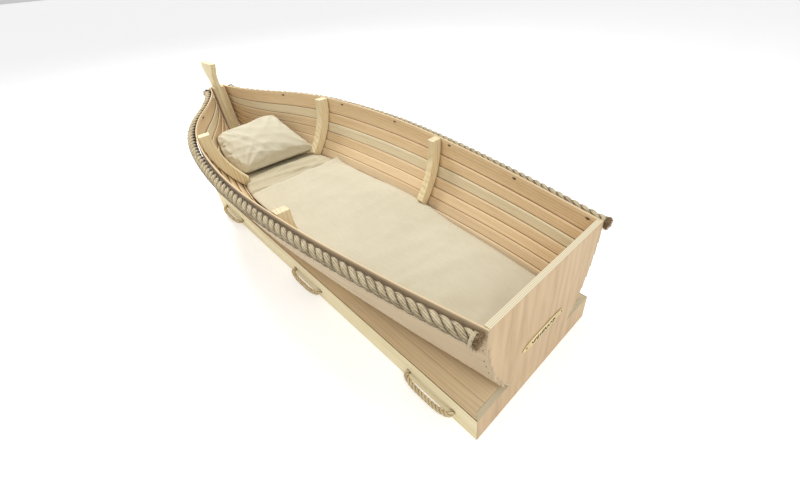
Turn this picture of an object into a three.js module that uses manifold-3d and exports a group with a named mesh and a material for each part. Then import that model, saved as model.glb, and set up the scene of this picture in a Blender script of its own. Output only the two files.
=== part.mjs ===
// Open clinker-built boat coffin on a low box base, with rope fenders, rope handles and bedding.
// Millimetres, +Z up. The foot (transom) faces +X, the stem faces -X, port is -Y, starboard is +Y.
import * as THREE from 'three';
import { mergeVertices } from 'three/addons/utils/BufferGeometryUtils.js';
import Module from 'manifold-3d';

// Driving dimensions
const BASE_LENGTH = 1714;
const BASE_WIDTH = 580;
const BASE_HEIGHT = 96;
const BOARD = 18;
const SHEER_LENGTH = 2130;
const SHEER_HEIGHT = 433;
const SHEER_RISE = 33;
const STRAKES = 8;
const PLANK = 6;
const LAP = 0.04;
const FRAME_DEPTH = 45;
const FRAME_WIDTH = 34;
const FRAME_DISTANCES = [763, 1530];
const STEM_THICKNESS = 26;
const CHEEK_THICKNESS = 17.5;
const FENDER_DIAMETER = 34;
const HANDLE_DIAMETER = 16;
const HANDLE_SPAN = 183;
const HANDLE_END_DISTANCE = 178;
const HANDLE_HEIGHT = 38;
const MATTRESS_THICKNESS = 61;
const GAP = 0.4;

// Shared heights worked out from the driving dimensions
const DECK = BASE_HEIGHT + GAP;
const BOTTOM_THICKNESS = 10;
const BOTTOM_TOP = DECK + BOTTOM_THICKNESS;
const MATTRESS_TOP = BOTTOM_TOP + GAP + MATTRESS_THICKNESS;

// Half-breadths of the hull at its sheer and at its bottom, as [distance from the foot, half-breadth]
const SHEER_OFFSETS = [
  [0, 256], [326, 311], [695, 357], [1030, 374], [1330, 352], [1560, 305],
  [1730, 233], [1890, 131], [2030, 57], [2110, 35], [2130, 33.8],
];
const BOTTOM_OFFSETS = [[0, 147], [400, 181], [950, 203], [1450, 160], [1750, 84], [1930, 48], [2060, 34.5], [2130, 33.8]];

// Colours of the materials
const COLOURS = {
  plank: 0xd8b891,
  palePlank: 0xd8cba8,
  pine: 0xdec79b,
  ply: 0xd3b189,
  rope: 0xc3b296,
  canvas: 0xe9e0c6,
  plate: 0xd9c48c,
};

const group = new THREE.Group();

function material(colour, roughness) {
  return new THREE.MeshStandardMaterial({ color: colour, roughness, metalness: 0 });
}

function addPiece(name, geometry, colour, roughness = 0.7) {
  const mesh = new THREE.Mesh(geometry, material(colour, roughness));
  mesh.name = name;
  group.add(mesh);
  return mesh;
}

// A smooth curve through [distance, value] pairs, read as value = f(distance)
function through(points) {
  const slope = points.map((p, i) => {
    const a = points[Math.max(i - 1, 0)];
    const b = points[Math.min(i + 1, points.length - 1)];
    return (b[1] - a[1]) / (b[0] - a[0]);
  });
  return (d) => {
    const last = points.length - 2;
    let i = points.findIndex((p) => p[0] > d) - 1;
    i = i < 0 ? (d <= points[0][0] ? 0 : last) : i;
    const span = points[i + 1][0] - points[i][0];
    const k = THREE.MathUtils.clamp((d - points[i][0]) / span, 0, 1);
    const rise = points[i + 1][1] - points[i][1];
    const ease = k * k * (3 - 2 * k);
    const start = k * (1 - k) * (1 - k) * span * slope[i];
    const end = k * k * (1 - k) * span * slope[i + 1];
    return points[i][1] + rise * ease + start - end;
  };
}

// Hull form: u runs from the transom (0) to the stem (1), t from the bottom edge (0) to the sheer (1)
const sheerBreadth = through(SHEER_OFFSETS);
const bottomBreadth = through(BOTTOM_OFFSETS);
const FOREFOOT_START = 0.6;
const FOREFOOT_RISE = 110;
const STEM_RAKE = 45;
const BILGE_HEIGHT = 0.47;

function sheerHeight(u) {
  return SHEER_HEIGHT + SHEER_RISE * u ** 3;
}

function keelHeight(u) {
  const k = Math.max(0, (u - FOREFOOT_START) / (1 - FOREFOOT_START));
  return DECK + FOREFOOT_RISE * k ** 3.5;
}

// Point of the inner face of the hull, pushed outward across the planking by the offset
function hullPoint(u, t, offset = 0) {
  const d = u * SHEER_LENGTH;
  const bottom = new THREE.Vector2(bottomBreadth(d), keelHeight(u));
  const top = new THREE.Vector2(sheerBreadth(d), sheerHeight(u));
  const fullness = THREE.MathUtils.lerp(1.03, 0.86, u ** 4);
  const bilge = new THREE.Vector2(
    bottom.x + fullness * (top.x - bottom.x),
    bottom.y + BILGE_HEIGHT * (top.y - bottom.y),
  );
  const curve = new THREE.QuadraticBezierCurve(bottom, bilge, top);
  const point = curve.getPoint(t);
  const along = curve.getTangent(t);
  const distance = d - STEM_RAKE * (1 - t) ** 2 * u ** 10;
  const height = Math.max(point.y - along.x * offset, bottom.y);
  return new THREE.Vector3(-distance, point.x + along.y * offset, height);
}

// The hull's half-breadth at a height, at a distance from the foot
function breadthAtHeight(distance, height) {
  const u = distance / SHEER_LENGTH;
  let low = 0;
  let high = 1;
  for (let i = 0; i < 30; i += 1) {
    const middle = (low + high) / 2;
    if (hullPoint(u, middle).z < height) low = middle;
    else high = middle;
  }
  return hullPoint(u, low).y;
}

// Closed solid through rings of points, each ring an array of Vector3 in the same order.
// The diagonals turn round half way, so that facing sides of a twisted board run alike.
function loft(rings) {
  const sides = rings[0].length;
  const position = [];
  rings.flat().forEach((p) => position.push(p.x, p.y, p.z));
  const index = [];
  for (let i = 0; i + 1 < rings.length; i += 1) {
    for (let j = 0; j < sides; j += 1) {
      const a = i * sides + j;
      const b = i * sides + ((j + 1) % sides);
      if (j < sides / 2) index.push(a, b, b + sides, a, b + sides, a + sides);
      else index.push(a, b, a + sides, b, b + sides, a + sides);
    }
  }
  const cap = THREE.ShapeUtils.triangulateShape(flatten(rings[0]), []);
  const end = (rings.length - 1) * sides;
  cap.forEach(([a, b, c]) => index.push(a, c, b));
  const lid = THREE.ShapeUtils.triangulateShape(flatten(rings[rings.length - 1]), []);
  lid.forEach(([a, b, c]) => index.push(end + a, end + b, end + c));
  const geometry = new THREE.BufferGeometry();
  geometry.setAttribute('position', new THREE.Float32BufferAttribute(position, 3));
  geometry.setIndex(index);
  return facingOut(geometry);
}

// A ring seen along its own axis, as 2-D points for triangulation
function flatten(ring) {
  const normal = new THREE.Vector3();
  ring.forEach((p, i) => {
    const q = ring[(i + 1) % ring.length];
    normal.x += (p.y - q.y) * (p.z + q.z);
    normal.y += (p.z - q.z) * (p.x + q.x);
    normal.z += (p.x - q.x) * (p.y + q.y);
  });
  normal.normalize();
  const side = Math.abs(normal.z) > 0.9 ? new THREE.Vector3(1, 0, 0) : new THREE.Vector3(0, 0, 1);
  const across = new THREE.Vector3().crossVectors(side, normal).normalize();
  const up = new THREE.Vector3().crossVectors(normal, across);
  return ring.map((p) => new THREE.Vector2(p.dot(across), p.dot(up)));
}

// Turns the faces round where the solid has come out inside out
function facingOut(geometry) {
  const p = geometry.getAttribute('position');
  const index = geometry.getIndex().array;
  const a = new THREE.Vector3();
  const b = new THREE.Vector3();
  const c = new THREE.Vector3();
  let volume = 0;
  for (let i = 0; i < index.length; i += 3) {
    a.fromBufferAttribute(p, index[i]);
    b.fromBufferAttribute(p, index[i + 1]);
    c.fromBufferAttribute(p, index[i + 2]);
    volume += a.dot(b.cross(c));
  }
  if (volume < 0) {
    const turned = Array.from(index);
    for (let i = 0; i < turned.length; i += 3) [turned[i], turned[i + 1]] = [turned[i + 1], turned[i]];
    geometry.setIndex(turned);
  }
  return geometry;
}

// A port piece is the mirror image of the starboard one
const SIDES = [['port', -1], ['starboard', 1]];

function mirrored(rings, side) {
  return rings.map((ring) => ring.map((p) => new THREE.Vector3(p.x, p.y * side, p.z)));
}

// A flat piece cut from a profile in the x-z plane, standing between two y values
function standingPlate(profile, yLow, yHigh) {
  const rings = [yLow, yHigh].map((y) => profile.map(([x, z]) => new THREE.Vector3(x, y, z)));
  return loft(rings);
}

function cubicPoints(a, b, c, d, steps) {
  const curve = new THREE.CubicBezierCurve(
    new THREE.Vector2(...a), new THREE.Vector2(...b), new THREE.Vector2(...c), new THREE.Vector2(...d),
  );
  return curve.getPoints(steps).map((p) => [p.x, p.y]);
}

// Base: a box of mitred boards with a deck
const HALF_BASE = BASE_WIDTH / 2;
const DECK_EDGE_WIDTH = 52;
const UNDERSIDE_PANEL = 12;
const HOLE_DIAMETER = HANDLE_DIAMETER + 2;

function hexahedron(corners) {
  return loft([corners.slice(0, 4), corners.slice(4)]);
}

const wasm = await Module();
wasm.setup();

function toSolid(geometry) {
  const bare = new THREE.BufferGeometry();
  bare.setAttribute('position', geometry.getAttribute('position'));
  bare.setIndex(geometry.getIndex());
  const merged = mergeVertices(bare, 1e-3);
  return new wasm.Manifold(new wasm.Mesh({
    numProp: 3,
    vertProperties: new Float32Array(merged.getAttribute('position').array),
    triVerts: new Uint32Array(merged.getIndex().array),
  }));
}

function toGeometry(solid) {
  const mesh = solid.getMesh();
  const geometry = new THREE.BufferGeometry();
  geometry.setAttribute('position', new THREE.Float32BufferAttribute(mesh.vertProperties, 3));
  geometry.setIndex(Array.from(mesh.triVerts));
  return geometry;
}

// Side boards: mitred into the end boards in plan and under the deck along their top edge
function addSideBoards() {
  SIDES.forEach(([name, side]) => {
    const outer = HALF_BASE;
    const inner = HALF_BASE - BOARD;
    const section = [[outer, 0], [outer, BASE_HEIGHT], [inner, BASE_HEIGHT - BOARD], [inner, 0]];
    const ring = (foot) => section.map(([y, z]) => {
      const inset = GAP + outer - y;
      const x = foot ? -inset : -BASE_LENGTH + inset;
      return new THREE.Vector3(x, y * side, z);
    });
    let board = toSolid(loft([ring(true), ring(false)]));
    handleCentres().forEach((centre) => [-1, 1].forEach((end) => {
      const hole = new THREE.CylinderGeometry(HOLE_DIAMETER / 2, HOLE_DIAMETER / 2, 3 * BOARD, 12);
      hole.translate(centre + end * HANDLE_SPAN / 2, (HALF_BASE - BOARD / 2) * side, HANDLE_HEIGHT);
      board = board.subtract(toSolid(hole));
    }));
    addPiece(`base_side_${name}`, toGeometry(board), COLOURS.pine);
  });
}

// End board of the base, mitred at its upright corners
function endBoard(x, inward) {
  const face = (depth) => {
    const y = HALF_BASE - depth;
    const at = x + inward * depth;
    return [[at, -y, 0], [at, y, 0], [at, y, BASE_HEIGHT], [at, -y, BASE_HEIGHT]];
  };
  return hexahedron([...face(0), ...face(BOARD)].map((p) => new THREE.Vector3(...p)));
}

function addHeadBoard() {
  addPiece('base_end_head', endBoard(-BASE_LENGTH, 1), COLOURS.pine);
}

// Deck: one edge board per side, mitred over the side board, and a panel between them
function addDeck() {
  const length = BASE_LENGTH - 2 * BOARD - 2 * GAP;
  const middle = -BASE_LENGTH / 2;
  const low = BASE_HEIGHT - BOARD;
  const seam = HALF_BASE - DECK_EDGE_WIDTH;
  SIDES.forEach(([name, side]) => {
    const arris = HALF_BASE - 1.5 * GAP;
    const bevel = arris - BOARD;
    const ends = BASE_LENGTH / 2 - BOARD - 1.5 * GAP;
    const plan = new THREE.Shape([
      new THREE.Vector2(ends + BOARD, arris), new THREE.Vector2(-ends - BOARD, arris),
      new THREE.Vector2(-ends, bevel), new THREE.Vector2(-ends, seam),
      new THREE.Vector2(ends, seam), new THREE.Vector2(ends, bevel),
    ]);
    const board = new THREE.ExtrudeGeometry(plan, { depth: BOARD, bevelEnabled: false });
    board.translate(middle, 0, low);
    const wedge = standingWedge(middle - BASE_LENGTH, middle + BASE_LENGTH, [
      [arris, BASE_HEIGHT], [arris + BOARD, BASE_HEIGHT + BOARD],
      [arris + BOARD, low - BOARD], [bevel - BOARD, low - BOARD],
    ]);
    const edge = toGeometry(toSolid(board).subtract(toSolid(wedge)));
    addPiece(`deck_edge_${name}`, side > 0 ? edge : reflected(edge), COLOURS.pine);
  });
  const width = 2 * (seam - GAP);
  const panel = new THREE.BoxGeometry(length, width, BOARD);
  addPiece('deck_panel', panel, COLOURS.pine).position.set(middle, 0, BASE_HEIGHT - BOARD / 2);
}

// A bar along x with the given y-z section
function standingWedge(from, to, section) {
  return loft([from, to].map((x) => section.map(([y, z]) => new THREE.Vector3(x, y, z))));
}

// The same solid on the other side of the centre plane
function reflected(geometry) {
  return facingOut(geometry.clone().scale(1, -1, 1));
}

function addUnderside() {
  const length = BASE_LENGTH - 2 * BOARD - 2 * GAP;
  const width = 2 * (HALF_BASE - BOARD - GAP);
  const panel = new THREE.BoxGeometry(length, width, UNDERSIDE_PANEL);
  addPiece('base_bottom_panel', panel, COLOURS.pine).position.set(-BASE_LENGTH / 2, 0, UNDERSIDE_PANEL / 2);
}

// Strakes: each laps outside the top edge of the one below it
const STRAKE_EDGES = [0, 0.13, 0.25, 0.355, 0.465, 0.575, 0.69, 0.81, 1];
const STRAKE_SAG = 0.42;
const STATIONS = 20;
const LAP_GAP = 0.9;

// Height parameter of the edge between two strakes: the edges sag towards the middle of the hull
function strakeEdge(n, u) {
  const t = STRAKE_EDGES[n];
  return t - STRAKE_SAG * Math.sin(Math.PI * u) ** 2 * t * (1 - t) ** 1.5;
}

function addStrakes() {
  for (let n = 0; n < STRAKES; n += 1) {
    const ring = (u) => {
      const low = strakeEdge(n, u);
      const high = strakeEdge(n + 1, u);
      const foot = Math.max(0, low - LAP);
      const knee = foot + LAP;
      const narrow = n === 0 ? 1 : Math.min(high - low, low - strakeEdge(n - 1, u));
      const push = n === 0 ? 0 : (PLANK + LAP_GAP) * (1 + LAP / narrow);
      const kneePush = push * (high - knee) / (high - foot);
      return [
        hullPoint(u, foot, push),
        hullPoint(u, knee, kneePush),
        hullPoint(u, high, 0),
        hullPoint(u, high, PLANK),
        hullPoint(u, knee, kneePush + PLANK),
        hullPoint(u, foot, push + PLANK),
      ];
    };
    const rings = Array.from({ length: STATIONS + 1 }, (_, i) => ring(i / STATIONS));
    const colour = n === STRAKES - 3 ? COLOURS.palePlank : COLOURS.plank;
    SIDES.forEach(([name, side]) => {
      addPiece(`strake_${n + 1}_${name}`, loft(mirrored(rings, side)), colour, 0.6);
    });
  }
}

// Transom: set between the strakes, flush with their ends, and one board with the base's foot end
function addTransom() {
  const ring = (distance) => {
    const half = STRAKE_EDGES.map((_, n) => {
      const u = distance / SHEER_LENGTH;
      const p = hullPoint(u, strakeEdge(n, u), -2 * GAP);
      return new THREE.Vector3(-distance, p.y, p.z);
    });
    half.unshift(new THREE.Vector3(-distance, half[0].y, BASE_HEIGHT - BOARD));
    const port = half.map((p) => new THREE.Vector3(p.x, -p.y, p.z)).reverse();
    return [...half, ...port];
  };
  const board = toSolid(loft([ring(0), ring(BOARD)])).add(toSolid(endBoard(0, -1)));
  addPiece('transom', toGeometry(board), COLOURS.ply, 0.6);
}

// Bottom board: closes the hull between the lowest strakes and turns up with the forefoot
const BOTTOM_STATIONS = STATIONS - 1;
const BOTTOM_END = BOTTOM_STATIONS / STATIONS;

// Outer bottom line of the hull, as [x, z]
function keelPoint(u) {
  return [-u * SHEER_LENGTH + STEM_RAKE * u ** 10, keelHeight(u)];
}

function addBottomBoard() {
  const ring = (u) => {
    const [x, z] = keelPoint(u);
    const half = hullPoint(u, 0).y - GAP;
    return [[half, z], [half, z + BOTTOM_THICKNESS], [-half, z + BOTTOM_THICKNESS], [-half, z]]
      .map(([y, h]) => new THREE.Vector3(x, y, h));
  };
  const start = (BOARD + GAP) / SHEER_LENGTH;
  const rings = Array.from(
    { length: BOTTOM_STATIONS + 1 },
    (_, i) => ring(i === 0 ? start : i / STATIONS),
  );
  addPiece('bottom_board', loft(rings), COLOURS.ply, 0.6);
}

// Stem: a centre board that rises into a flared head, between two cheeks that end at the sheer
const APRON_TOP = [-2088, 466];
const APRON_FOOT = [-2062, 255];
const HEAD_AFT = [[-2097, 498], [-2092, 526], [-2072, 561], [-2053, 592]];
const HEAD_FORE = [[-2194, 586], [-2207, 558], [-2195, 532], [-2181, 510], [-2162, 491], [-2157, 467]];
const STEM_TAIL_DISTANCE = 1732;

function addStem() {
  const [boardEnd, boardHeight] = keelPoint(BOTTOM_END);
  const heel = boardEnd - 2 * GAP;
  const apron = cubicPoints(
    [heel, boardHeight + BOTTOM_THICKNESS + 4],
    [heel - 30, boardHeight + 40],
    [APRON_FOOT[0] + 4, APRON_FOOT[1] - 35],
    APRON_FOOT,
    4,
  );
  const gripe = cubicPoints([-2157, 467], [-2162, 280], [-2150, 95], [-STEM_TAIL_DISTANCE, 97.5], 12);
  const keel = [];
  for (let u = 0.83; u < BOTTOM_END; u += 0.03) {
    const [x, z] = keelPoint(u);
    keel.push([x, z - 2 * GAP]);
  }
  const profile = [
    APRON_TOP, ...HEAD_AFT, ...HEAD_FORE, ...gripe.slice(1), [-STEM_TAIL_DISTANCE, 104], ...keel,
    [heel, boardHeight - 2 * GAP], ...apron.slice(0, -1), APRON_FOOT,
  ];
  const half = STEM_THICKNESS / 2;
  addPiece('stem', standingPlate(profile, -half, half), COLOURS.pine);

  const hoodEnds = Array.from({ length: 7 }, (_, i) => {
    const p = hullPoint(1, 1 - i / 6);
    return [p.x - 6, p.z];
  });
  const [, lowest] = hoodEnds[hoodEnds.length - 1];
  const cheek = [APRON_TOP, ...hoodEnds, [heel, lowest - 40], ...apron];
  const inner = half + GAP;
  SIDES.forEach(([name, side]) => {
    const edges = [inner * side, (inner + CHEEK_THICKNESS) * side];
    addPiece(`stem_cheek_${name}`, standingPlate(cheek, Math.min(...edges), Math.max(...edges)), COLOURS.pine);
  });
}

// Frames: curved ribs against the planking, from the sheer down to the mattress, their feet cut on a slant
const FRAME_STEPS = 9;
const FRAME_CLEARANCE = 2.5;
const FRAME_LIFT = 7.2;
const FRAME_TOE_LIFT = 21;

function parameterAtHeight(u, height, offset) {
  let low = 0;
  let high = 1;
  for (let i = 0; i < 30; i += 1) {
    const middle = (low + high) / 2;
    if (hullPoint(u, middle, offset).z < height) low = middle;
    else high = middle;
  }
  return low;
}

function addFrames() {
  FRAME_DISTANCES.forEach((distance, number) => {
    const ring = (d) => {
      const u = d / SHEER_LENGTH;
      const at = (depth, lift) => {
        const low = parameterAtHeight(u, MATTRESS_TOP + lift, -depth);
        return Array.from(
          { length: FRAME_STEPS + 1 },
          (_, i) => hullPoint(u, THREE.MathUtils.lerp(low, 1, i / FRAME_STEPS), -depth),
        );
      };
      const outer = at(FRAME_CLEARANCE, FRAME_LIFT);
      const inner = at(FRAME_CLEARANCE + FRAME_DEPTH, FRAME_TOE_LIFT);
      const points = [...outer, ...inner.reverse()];
      return points.map((p) => new THREE.Vector3(-d, p.y, p.z));
    };
    const rings = [distance - FRAME_WIDTH / 2, distance + FRAME_WIDTH / 2].map(ring);
    SIDES.forEach(([name, side]) => {
      addPiece(`frame_${number + 1}_${name}`, loft(mirrored(rings, side)), COLOURS.pine);
    });
  });
}

// Ropes
function rope(points, diameter, steps, corners) {
  const path = new THREE.CatmullRomCurve3(points);
  const section = new THREE.Shape().absarc(0, 0, diameter / 2, 0, 2 * Math.PI);
  return new THREE.ExtrudeGeometry(section, {
    steps, curveSegments: corners / 2, extrudePath: path, bevelEnabled: false,
  });
}

// Fender ropes run along the outside of the sheer, from just past the transom to the stem
const FENDER_RISE = -1.5;
const FENDER_TAILS = { port: -6, starboard: 10 };
const FENDER_STANDOFF = 6.2;
const FENDER_END = 0.985;

function addFenders() {
  const radius = FENDER_DIAMETER / 2;
  const stations = 24;
  SIDES.forEach(([name, side]) => {
    const points = Array.from({ length: stations + 1 }, (_, i) => {
      const u = FENDER_END * i / stations;
      const edge = hullPoint(u, 1, PLANK + radius + FENDER_STANDOFF);
      return new THREE.Vector3(edge.x, edge.y * side, sheerHeight(u) + FENDER_RISE - radius);
    });
    points[0].x += FENDER_TAILS[name];
    addPiece(`fender_rope_${name}`, rope(points, FENDER_DIAMETER, 34, 8), COLOURS.rope, 0.95);
  });
}

// Handle ropes: loops knotted behind the side boards, each through two holes
const HANDLE_DROP = 9;
const HANDLE_REACH = 23;
const HANDLE_SPACING = 677;
const KNOT_ROOM = 10;

function handleCentres() {
  return [0, 1, 2].map((i) => -(HANDLE_END_DISTANCE + i * HANDLE_SPACING));
}

function addHandles() {
  SIDES.forEach(([name, side]) => {
    handleCentres().forEach((x, number) => {
      const half = HANDLE_SPAN / 2;
      const reach = [
        [-half, -BOARD - KNOT_ROOM, 0], [-half, -BOARD / 2, 0], [-half, 7, 0],
        [-half * 0.9, HANDLE_REACH * 0.72, -0.4], [-half * 0.5, HANDLE_REACH * 0.97, -0.9], [0, HANDLE_REACH, -1],
        [half * 0.5, HANDLE_REACH * 0.97, -0.9], [half * 0.9, HANDLE_REACH * 0.72, -0.4],
        [half, 7, 0], [half, -BOARD / 2, 0], [half, -BOARD - KNOT_ROOM, 0],
      ];
      const points = reach.map(([along, out, drop]) => new THREE.Vector3(
        x + along,
        (HALF_BASE + out) * side,
        HANDLE_HEIGHT + drop * HANDLE_DROP,
      ));
      addPiece(`handle_rope_${number + 1}_${name}`, rope(points, HANDLE_DIAMETER, 22, 8), COLOURS.rope, 0.95);
    });
  });
}

// Bedding: mattress, blanket and pillow as plain soft solids
const MATTRESS_MARGIN = 10;
const MATTRESS_START = 42;
const MATTRESS_END = 1880;
const BLANKET_START = 46;
const BLANKET_HEM = 1385;
const BLANKET_THICKNESS = 6;

const mattressBreadth = through([
  [42, 178], [357, 207], [577, 222], [740, 247], [925, 250], [1153, 234], [1380, 226], [1560, 190], [1880, 60],
]);

function mattressHalf(distance, height) {
  const room = breadthAtHeight(distance, height) - MATTRESS_MARGIN;
  return Math.min(mattressBreadth(distance), room);
}

function addMattress() {
  const stations = 14;
  const rings = Array.from({ length: stations + 1 }, (_, i) => {
    const d = THREE.MathUtils.lerp(MATTRESS_START, MATTRESS_END, i / stations);
    const low = keelHeight((d + 90) / SHEER_LENGTH) + BOTTOM_THICKNESS + GAP;
    const lower = mattressHalf(d, low + 8);
    const upper = mattressHalf(d, MATTRESS_TOP);
    return [[lower, low], [upper, MATTRESS_TOP], [-upper, MATTRESS_TOP], [-lower, low]]
      .map(([y, z]) => new THREE.Vector3(-d, y, z));
  });
  addPiece('mattress', loft(rings), COLOURS.canvas, 0.95);
}

function addBlanket() {
  const stations = 12;
  const low = MATTRESS_TOP + GAP;
  const high = low + BLANKET_THICKNESS;
  const rings = Array.from({ length: stations + 1 }, (_, i) => {
    const d = THREE.MathUtils.lerp(BLANKET_START, BLANKET_HEM, i / stations);
    const half = mattressHalf(d, MATTRESS_TOP) + 2;
    return [[half, low], [half, high], [-half, high], [-half, low]]
      .map(([y, z]) => new THREE.Vector3(-d, y, z));
  });
  addPiece('blanket', loft(rings), COLOURS.canvas, 0.95);
}

// Pillow: its head end is propped up where the hull narrows
const PILLOW_FOOT = 1522;
const PILLOW_HEAD = 1822;
const PILLOW_FOOT_HALF = 186;
const PILLOW_HEAD_HALF = 166;
const PILLOW_FOOT_TOP = 214;
const PILLOW_HEAD_TOP = 344;

function addPillow() {
  const stations = 8;
  const corners = 12;
  const rings = Array.from({ length: stations + 1 }, (_, i) => {
    const k = i / stations;
    const d = THREE.MathUtils.lerp(PILLOW_FOOT, PILLOW_HEAD, k);
    const plump = Math.sqrt(Math.sin(Math.PI * (0.04 + 0.92 * k)));
    const middle = THREE.MathUtils.lerp(PILLOW_FOOT_TOP - 14, PILLOW_HEAD_TOP - 30, k);
    const half = THREE.MathUtils.lerp(PILLOW_FOOT_HALF, PILLOW_HEAD_HALF, k);
    return Array.from({ length: corners }, (__, j) => {
      const angle = 2 * Math.PI * (j + 0.5) / corners;
      const across = Math.sign(Math.cos(angle)) * Math.abs(Math.cos(angle)) ** 0.6;
      const above = Math.sin(angle);
      const reach = above > 0 ? 34 : 34 + 70 * k;
      const z = Math.max(middle + above * reach * plump, MATTRESS_TOP + GAP + 1);
      const beside = d < FRAME_DISTANCES[1] + 1.5 * FRAME_WIDTH ? FRAME_DEPTH + 20 : 6;
      const room = breadthAtHeight(d, z) - beside;
      const y = Math.min(Math.abs(across) * half * (0.94 + 0.06 * plump), room);
      return new THREE.Vector3(-d, Math.sign(across) * y, z);
    });
  });
  addPiece('pillow', loft(rings), COLOURS.canvas, 0.95);
}

// Nameplate: a thin plate with tapered ends on the outer face of the transom
const PLATE_LENGTH = 208;
const PLATE_HEIGHT = 30;
const PLATE_THICKNESS = 2.4;
const PLATE_CENTRE = [-5, 201];

function addNameplate() {
  const [y, z] = PLATE_CENTRE;
  const half = PLATE_LENGTH / 2;
  const tall = PLATE_HEIGHT / 2;
  const outline = [
    [-half, 0], [-half * 0.86, -tall * 0.7], [-half * 0.6, -tall], [half * 0.6, -tall],
    [half * 0.86, -tall * 0.7], [half, 0], [half * 0.86, tall * 0.7], [half * 0.6, tall],
    [-half * 0.6, tall], [-half * 0.86, tall * 0.7],
  ];
  const rings = [GAP, GAP + PLATE_THICKNESS].map(
    (x) => outline.map(([across, up]) => new THREE.Vector3(x, y + across, z + up)),
  );
  addPiece('nameplate', loft(rings), COLOURS.plate, 0.5);
}

addSideBoards();
addHeadBoard();
addDeck();
addUnderside();
addStrakes();
addTransom();
addBottomBoard();
addStem();
addFrames();
addFenders();
addHandles();
addMattress();
addBlanket();
addPillow();
addNameplate();

// Origin: the centre of the footprint, on the floor
const box = new THREE.Box3().setFromObject(group);
group.position.x = -(box.min.x + box.max.x) / 2;

export default group;
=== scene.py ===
import math
import random

import bpy
import bmesh
from mathutils import Matrix, Vector, noise


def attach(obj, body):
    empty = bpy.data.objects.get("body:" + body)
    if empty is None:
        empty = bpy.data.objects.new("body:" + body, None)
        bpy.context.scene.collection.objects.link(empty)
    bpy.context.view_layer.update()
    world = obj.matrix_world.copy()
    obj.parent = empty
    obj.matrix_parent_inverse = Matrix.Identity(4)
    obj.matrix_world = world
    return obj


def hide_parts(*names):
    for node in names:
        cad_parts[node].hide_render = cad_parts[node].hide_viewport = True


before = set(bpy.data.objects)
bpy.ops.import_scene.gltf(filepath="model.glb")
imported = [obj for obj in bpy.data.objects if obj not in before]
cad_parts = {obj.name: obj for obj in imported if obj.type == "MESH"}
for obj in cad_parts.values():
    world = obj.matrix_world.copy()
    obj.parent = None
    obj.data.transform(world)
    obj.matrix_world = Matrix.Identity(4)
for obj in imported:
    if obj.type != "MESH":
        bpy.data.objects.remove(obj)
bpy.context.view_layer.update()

# The hull's own coordinates have x = 0 on the transom's outer face: the part's origin is this far behind it
FOOT_X = 1.0972
SHEER_LENGTH = 2.130
SHEER_HEIGHT = 0.433
SHEER_RISE = 0.033
BASE_TOP = 0.096
MATTRESS_TOP = 0.1678
BASE_HALF = 0.290
BASE_LENGTH = 1.714
PLANK = 0.006
ROPE_RADIUS = 0.017
BOARD = 0.018
FRAME_DISTANCES = (763, 1530)
FRAME_WIDTH = 34
SIDES = (("port", -1), ("starboard", 1))


# Camera: at the photograph's place, looking from the foot and the port side
def make_camera():
    data = bpy.data.cameras.new("camera")
    data.sensor_width = 36.0
    data.lens = 17.84
    data.shift_x = -0.0544
    data.shift_y = -0.0408
    data.clip_start = 0.05
    data.clip_end = 50.0
    cam = bpy.data.objects.new("camera", data)
    cam.location = (1.4158, -0.6999, 1.1194)
    cam.rotation_euler = [math.radians(a) for a in (54.153, 1.809, 43.886)]
    bpy.context.collection.objects.link(cam)
    bpy.context.scene.camera = cam


make_camera()


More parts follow.
